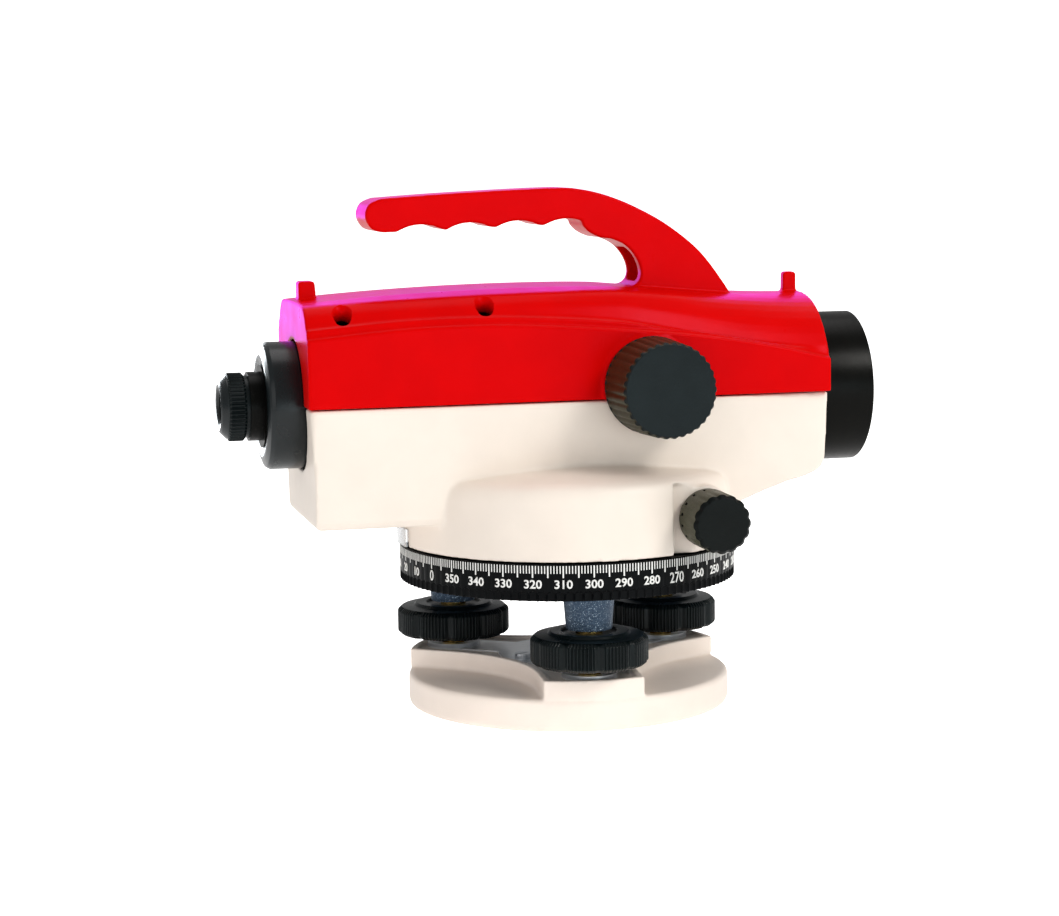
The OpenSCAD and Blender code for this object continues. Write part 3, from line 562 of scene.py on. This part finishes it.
def make_cover():
    """Hollow cover, handle, sights and the boss behind the focus knob, fused into one moulding."""
    cover = cover_skin("cover", COVER_REAR, COVER_FRONT, 0)
    cut(cover, cover_skin("cover_room", COVER_REAR + 2.9, COVER_FRONT - 3, 2.4))
    cut(cover,
        cylinder("rear_opening", 20.0, (-100, 0, AXIS_Z), (-78, 0, AXIS_Z), 96),
        cylinder("front_opening", 23.9, (74.2, 0, AXIS_Z), (90, 0, AXIS_Z), 96),
        cylinder("focus_hole", 5.0, (FOCUS_AT[0], -40, FOCUS_AT[1]), (FOCUS_AT[0], -20, FOCUS_AT[1])))
    handle = prism("handle", handle_outline(), 9.0, bevel=3.4, segments=5)
    cut(handle, box("handle_pocket", (12, -4.6, 131.5), (26.5, 6.6, 142), 1.4))
    sights = [prism("rear_sight", [(-83.5, 125), (-83.5, 133.4), (-82.9, 133.9), (-79.0, 133.9),
                                   (-78.4, 133.3), (-78.0, 125)], 3.2),
              prism("front_sight", [(71.3, 122), (71.5, 132.6), (72.0, 133), (75.0, 133), (75.6, 132.4),
                                    (75.7, 122)], 1.5)]
    boss = turned("focus_boss", rounded([(5, 0, 0), (15.3, 0, 0), (15.3, 3.7, 0.4), (5, 3.7, 0)], 3), 128,
                  facing(FOCUS_AT[0], -27.2, FOCUS_AT[1], -1))
    keep = box("above_seam", (0, -40, SEAM_Z + SEAM_GAP), (40, -20, 130))
    combine(boss, "INTERSECT", keep)
    join(cover, handle, boss, *sights)
    mould(cover, 0.45, 4)
    for x, y in SCREW_SPOTS:
        cut(cover, cylinder("scoop", 2.9, (x, y, SCOOP_FLOOR - 2), (x, y, SCOOP_FLOOR + 20), 32))
    finish_piece(cover, "alidade", "red_plastic", ["top_cover"])
    return cover


# ---- housing and base ----------------------------------------------------------------------

def make_housing():
    """The CAD's housing with soft edges, its front end drawn forward to the cover's front."""
    housing = copy_of("housing", "lower_housing")
    mould(housing, 0.6, 4)
    for v in housing.data.vertices:
        v.co.x += 1.3 * MM * ease((v.co.x / MM - 55) / 18)
    finish_piece(housing, "alidade", "ivory_paint", ["lower_housing"])


def make_base():
    """The CAD's base plate with soft edges."""
    base = copy_of("base", "base_plate")
    mould(base, 0.5, 3)
    finish_piece(base, "base", "cream_paint", ["base_plate"])
    return base


# ---- graduated circle ----------------------------------------------------------------------

def make_circle():
    ribs = 120

    def flute(a, h):
        """Round-topped finger flutes round the lower rim, with thin ridges between them."""
        across = 2 * ((a / (2 * math.pi) * ribs) % 1.0) - 1
        arch = math.sqrt(max(0.0, 1 - across * across))
        depth = 0.6 * arch ** 0.7
        return depth * (1 - ease((h - 41.5 - 1.3 * arch) / 0.35))

    # a closely spaced lower wall, so that the flutes have points to bend
    heights = [40.45 + 0.2 * i for i in range(14)]
    outline = rounded([(48, 40, 0.3), (52.5, 40, 0.4)] + [(52.5, h, 0) for h in heights]
                      + [(52.5, 51.1, 0.35), (46.1, 51.1, 0.2), (46.1, 49.5, 0.2), (42.1, 49.5, 0.2),
                         (42.1, 47.0, 0.1), (48, 47.0, 0.1)], 3)
    outline = [(r, h, 1.0 if h < 43.5 and r > 51 else 0.0) for r, h in outline]
    ring = turned("circle_ring", outline, ribs * 8, lobes=flute)
    finish_piece(ring, "circle", "circle_black", ["graduated_circle"])


def graduation_angle(degree):
    """Direction from the axis at which the circle's given degree stands, in degrees."""
    return 270 + READING_AT_FRONT - degree


def make_ticks():
    """One tick per degree, every fifth one longer."""
    verts, faces = [], []

    def mark(angle, width, top, bottom):
        """A thin raised bar on the ring's wall."""
        r = CIRCLE_R + 0.05
        base = len(verts)
        for depth in (CIRCLE_R - 0.2, r):
            for da, z in ((-1, bottom), (1, bottom), (1, top), (-1, top)):
                a = math.radians(angle) + da * width / 2 / CIRCLE_R
                verts.append((depth * math.cos(a), depth * math.sin(a), z))
        faces.extend([(base + 4, base + 5, base + 6, base + 7), (base, base + 3, base + 2, base + 1)])
        for i in range(4):
            j = (i + 1) % 4
            faces.append((base + i, base + j, base + 4 + j, base + 4 + i))

    top = CIRCLE_TOP - 0.35
    for degree in range(360):
        long = degree % 5 == 0
        mark(graduation_angle(degree), 0.45 if long else 0.33, top, top - (3.6 if long else 2.35))
    ticks = add_mesh("circle_ticks", verts, faces)
    finish_piece(ticks, "circle", "circle_black", material="white_paint")


def make_numerals():
    """A numeral every ten degrees, bent round the ring; those at right angles are taller."""
    pieces = []
    for degree in range(0, 360, 10):
        big = degree % 90 == 0
        curve = bpy.data.curves.new("numeral", "FONT")
        curve.body = str(degree)
        curve.size = 4.6 if big else 3.55
        curve.offset = 0.06 if big else 0.09
        curve.align_x = "CENTER"
        curve.resolution_u = 3
        text = bpy.data.objects.new("numeral", curve)
        bpy.context.scene.collection.objects.link(text)
        bpy.context.view_layer.update()
        mesh = bpy.data.meshes.new_from_object(text.evaluated_get(bpy.context.evaluated_depsgraph_get()))
        bpy.data.objects.remove(text)
        bm = bmesh.new()
        bm.from_mesh(mesh)
        bmesh.ops.triangulate(bm, faces=bm.faces)
        grown = bmesh.ops.extrude_face_region(bm, geom=bm.faces[:])
        raised = {v for v in grown["geom"] if isinstance(v, bmesh.types.BMVert)}
        start = math.radians(graduation_angle(degree))
        foot = 43.6 if big else 44.0
        widen = 0.80 if big else 1.05
        for v in bm.verts:
            r = CIRCLE_R + (0.05 if v in raised else -0.2)
            a = start + v.co.x * widen / CIRCLE_R
            v.co = Vector((r * math.cos(a), r * math.sin(a), foot + v.co.y)) * MM
        bmesh.ops.recalc_face_normals(bm, faces=bm.faces)
        bm.to_mesh(mesh)
        bm.free()
        pieces.append(mesh)
    bm = bmesh.new()
    for mesh in pieces:
        bm.from_mesh(mesh)
    numerals = bpy.data.objects.new("circle_numerals", bpy.data.meshes.new("circle_numerals"))
    bm.to_mesh(numerals.data)
    bm.free()
    bpy.context.scene.collection.objects.link(numerals)
    finish_piece(numerals, "circle", "circle_black", material="white_paint")


# ---- knobs ---------------------------------------------------------------------------------

def foot_knob_lobes(a, h):
    """Ten groups of seven fine ribs with a smooth shallow valley between neighbouring groups."""
    turn = (a / (2 * math.pi) * 10) % 1.0
    edge = min(turn, 1 - turn)
    if edge < 0.15:
        return 0.25 + 0.75 * ease(1 - edge / 0.15)
    return 0.45 * (0.5 + 0.5 * math.cos(2 * math.pi * 7 * (turn - 0.15) / 0.7)) ** 2


def make_foot_knobs():
    for side, direction in SCREW_DIRS.items():
        a = math.radians(direction)
        place = Matrix.Translation((SCREW_CIRCLE * math.cos(a), SCREW_CIRCLE * math.sin(a), 18.7)) \
            @ Matrix.Rotation(a, 4, "Z")
        outline = rounded([(4.05, 2.2, 0.1), (6.5, 2.2, 0.3), (6.5, 0, 0.4), (14.6, 0, 0.4), (16.6, 0.2, 0.8),
                           (17.8, 1.2, 0.8), (17.8, 7.9, 1.0), (16.4, 9.1, 0.8), (12.6, 9.4, 0.5),
                           (11.9, 10.3, 0.4), (8.6, 10.3, 0.3), (8.4, 9.6, 0.3), (4.05, 9.6, 0.2)], 4)
        profile = [(r, h, 1.0 if 0.15 < h < 9.0 and r > 15 else 0.0) for r, h in outline]
        knob = turned("foot_knob_" + side, profile, 700, place, foot_knob_lobes)
        finish_piece(knob, side + "_footscrew", "black_plastic", ["footscrew_knob_" + side])


def make_focus_knob():
    flutes = 34

    def flute(a, h):
        return (0.5 - 0.5 * math.cos(flutes * a)) ** 1.5

    outline = rounded([(2.55, 9.8, 0.1), (5.0, 9.8, 0.3), (5.0, 0.2, 0.3), (12.4, 0.2, 0.3), (13.6, 0, 0.6),
                       (14.9, 0.5, 0.8), (15.0, 1.8, 0.5), (14.7, 10, 0), (14.4, 19.6, 0.5),
                       (13.7, 20.7, 0.4), (6, 20.5, 0), (0.001, 20.4, 0), (0.001, 14, 0), (2.55, 14, 0)], 4)
    # the flutes are 0.45 deep and run out over the last 1.2 before the face
    profile = [(r, h, 0.45 * min(1.0, max(0.0, (20.8 - h) / 1.2)) if 0.9 < h < 20.8 and r > 13.2 else 0.0)
               for r, h in outline]
    knob = turned("focus_knob_body", profile, flutes * 14, facing(FOCUS_AT[0], -31.1, FOCUS_AT[1], -1), flute)
    finish_piece(knob, "focus_drive", "black_rubber", ["focus_knob"])


def make_tangent_knobs():
    lobes = 16

    def lobe(a, h):
        """Shallow lobes growing toward the face, with a short slot between neighbours near the drum."""
        valley = (0.5 - 0.5 * math.cos(lobes * a)) ** 2
        slot = 1.3 * ease((valley - 0.75) / 0.2) if 2.45 < h < 4.15 else 0.0
        return valley * (0.06 + 0.36 * ease((h - 7) / 8)) + slot

    outline = rounded([(2.55, 6, 0.1), (4, 6, 0.2), (4, 0.2, 0.3), (6.6, 0.2, 0.3), (8.2, 0, 0.5),
                       (8.9, 0.7, 0.5)] + [(8.9, h, 0) for h in (2.4, 2.5, 4.1, 4.2, 6, 8, 10)]
                      + [(8.9, 15.2, 0.6), (7.9, 16.3, 0.5), (0.001, 16.3, 0), (0.001, 13, 0),
                         (2.55, 13, 0)], 4)
    profile = [(r, h, min(1.0, max(0.0, (r - 7.4) / 0.9)) if h > 0.4 else 0.0) for r, h in outline]
    for side, toward in (("near", -1), ("far", 1)):
        place = facing(32, 45.1 * toward, 62.3, toward)
        knob = turned("tangent_knob_body_" + side, profile, lobes * 24, place, lobe)
        finish_piece(knob, "tangent_drive", "black_rubber", ["tangent_knob_" + side], material="knob_rubber")


# ---- telescope ends ------------------------------------------------------------------------

def along_x(x):
    """Places local Z along the line of sight from x."""
    return Matrix.Translation((x, 0, AXIS_Z)) @ Matrix.Rotation(math.radians(90), 4, "Y")


def make_barrel():
    """Objective barrel: a sleeve inside the cover, then the wider hood with a bevelled mouth."""
    outline = rounded([(18.55, 0, 0), (20.6, 0, 0.3), (20.6, 18.6, 0), (23.6, 18.6, 0.2), (23.6, 35.4, 0.2),
                       (23.3, 35.7, 0.2), (21.7, 35.7, 0.3), (20.0, 34.0, 0.3), (20.0, 22, 0),
                       (17.4, 22, 0.2), (17.4, 5, 0), (18.55, 5, 0)], 4)
    barrel = turned("objective_hood", outline, 192, along_x(58))
    finish_piece(barrel, "alidade", "black_anodised", ["objective_barrel"])


def make_flange():
    outline = rounded([(12.7, 0.5, 0.2), (15.6, 0, 0.4), (16.4, 0.1, 0.6), (18.6, 0.9, 0.8), (19.4, 2.2, 0.8),
                       (19.4, 12.6, 0.3), (12.7, 12.6, 0)], 5)
    flange = turned("eyepiece_collar", outline, 192, along_x(-95.6))
    finish_piece(flange, "alidade", "black_gloss_plastic", ["eyepiece_flange"])
    return flange


def make_dioptre_ring():
    knurls = 48

    def knurl(a, h):
        return 0.5 - 0.5 * math.cos(knurls * a)

    outline = rounded([(7.55, 0.2, 0.1), (9.6, 0, 0.3), (10.4, 0.5, 0.3), (10.4, 4.6, 0.3), (9.7, 5.2, 0.2),
                       (9.45, 5.3, 0), (9.45, 18, 0.2), (7.55, 18, 0)], 3)
    profile = [(r, h, 0.55 if r > 9.9 else 0.0) for r, h in outline]
    ring = turned("dioptre_grip", profile, knurls * 10, along_x(-106), knurl)
    finish_piece(ring, "eyepiece_ring", "black_plastic", ["dioptre_ring"])
    return ring


def make_eyecup():
    outline = rounded([(5.2, 0.9, 0.2), (6.2, 0.2, 0.3), (7.2, 0, 0.3), (8.0, 0.5, 0.3), (9.6, 2.1, 0.2),
                       (9.6, 2.4, 0), (5.2, 2.4, 0)], 4)
    cup = turned("eye_shade", outline, 128, along_x(-108.4))
    finish_piece(cup, "eyepiece_ring", "black_rubber", ["eyecup"], material="black_gloss_plastic")
    return cup


def lit_group(name, pieces):
    """Pieces that share lights of their own."""
    group = bpy.data.collections.new(name)
    for piece in pieces:
        group.objects.link(piece)
    return group


cool_lit = lit_group("cool_lit", [make_cover()])
make_housing()
base_lit = lit_group("base_lit", [make_base()])
make_circle()
make_ticks()
make_numerals()
make_foot_knobs()
make_focus_knob()
make_tangent_knobs()
make_barrel()
end_lit = lit_group("end_lit", [make_flange(), make_dioptre_ring(), make_eyecup()])

for cad_object in frame["nodes"].values():
    shade(cad_object, 30)


# ---- stage, lights, camera -----------------------------------------------------------------

FLOOR_GLOW = 0.38       # what the bright table throws back at the object
AMBIENT = 0.40          # the room round it


def seen_white(tree, lighting, seen, socket):
    """Drives a strength: one value for the light it gives, another for what the camera sees."""
    ray = node(tree, "ShaderNodeLightPath")
    strength = node(tree, "ShaderNodeMapRange")
    strength.inputs["To Min"].default_value = lighting
    strength.inputs["To Max"].default_value = seen
    tree.links.new(ray.outputs["Is Camera Ray"], strength.inputs["Value"])
    tree.links.new(strength.outputs["Result"], socket)


def make_stage():
    mesh = bpy.data.meshes.new("floor")
    verts = [(-6, -4, 0), (6, -4, 0), (6, 7, 0), (-6, 7, 0)]
    mesh.from_pydata(verts, [], [(0, 1, 2, 3)])
    floor = bpy.data.objects.new("floor", mesh)
    bpy.context.scene.collection.objects.link(floor)
    white = surface("floor_white", (0.90, 0.90, 0.90), 0.7, grain=90, bump=0.01, shade=0.985, specular=0.1)
    bsdf = white.node_tree.nodes["Principled BSDF"]
    bsdf.inputs["Emission Color"].default_value = (1, 1, 1, 1)
    seen_white(white.node_tree, FLOOR_GLOW, 0.85, bsdf.inputs["Emission Strength"])
    mesh.materials.append(white)


def area_light(name, location, target, size, power, color, only=None):
    """Soft rectangular light; with a collection given, it lights that collection only."""
    data = bpy.data.lights.new(name, "AREA")
    data.shape = "RECTANGLE"
    data.size, data.size_y = size
    data.energy = power
    data.color = color
    light = bpy.data.objects.new(name, data)
    if only:
        light.light_linking.receiver_collection = only
    light.location = location
    light.rotation_euler = (Vector(target) - Vector(location)).to_track_quat("-Z", "Y").to_euler()
    bpy.context.scene.collection.objects.link(light)


def make_lights():
    middle = (0, 0, 0.09)
    area_light("key", (0.75, -0.95, 1.05), middle, (0.5, 0.5), 8.6, (1.0, 0.98, 0.94))
    area_light("fill", (-1.1, -0.9, 0.55), middle, (0.9, 0.9), 1.8, (1.0, 0.99, 0.97))
    area_light("low_front", (0.42, -1.5, 0.16), middle, (0.55, 0.4), 1.6, (0.78, 0.95, 1.0))
    area_light("overhead", (0.0, 0.35, 1.15), middle, (1.2, 0.7), 3.0, (1.0, 0.98, 0.98))
    # cool light on the cover's top and rear, and fills for the base and the eyepiece
    area_light("rear_cool", (0.1, 1.35, 0.95), middle, (2.2, 1.0), 19, (0.52, 0.05, 0.95), cool_lit)
    area_light("base_fill", (-0.9, -1.2, 0.30), (0, 0, 0.02), (0.6, 0.4), 3.4, (1.0, 0.97, 0.97), base_lit)
    area_light("end_cool", (-0.55, 1.2, 0.22), (-0.05, 0, 0.1), (0.9, 0.5), 4.5, (0.60, 0.05, 1.0), cool_lit)
    area_light("end_white", (-0.50, 1.3, 0.22), (-0.1, 0, 0.1), (0.7, 0.5), 9, (0.9, 0.96, 1.0), end_lit)
    world = bpy.data.worlds.new("studio")
    world.use_nodes = True
    tree = world.node_tree
    tree.nodes["Background"].inputs["Color"].default_value = (1, 1, 1, 1)
    seen_white(tree, AMBIENT, 1.0, tree.nodes["Background"].inputs["Strength"])
    bpy.context.scene.world = world


def make_camera():
    data = bpy.data.cameras.new("camera")
    data.sensor_width = 36
    data.lens = 87.95
    data.clip_start = 0.01
    camera = bpy.data.objects.new("camera", data)
    bpy.context.scene.collection.objects.link(camera)
    forward = Vector((0.23199, 0.96505, -0.12192)).normalized()
    level = Vector((0.97229, -0.23379, 0)).normalized()
    rise = level.cross(forward)
    roll = math.radians(-0.77)
    right = math.cos(roll) * level + math.sin(roll) * rise
    up = math.cos(roll) * rise - math.sin(roll) * level
    pose = Matrix((right, up, -forward)).transposed().to_4x4()
    pose.translation = Vector((-0.19919, -0.78010, 0.17539))
    camera.matrix_world = pose
    bpy.context.scene.camera = camera


make_stage()
make_lights()
make_camera()
bpy.context.scene.view_settings.view_transform = "Standard"
bpy.context.scene.view_settings.look = "Medium High Contrast"
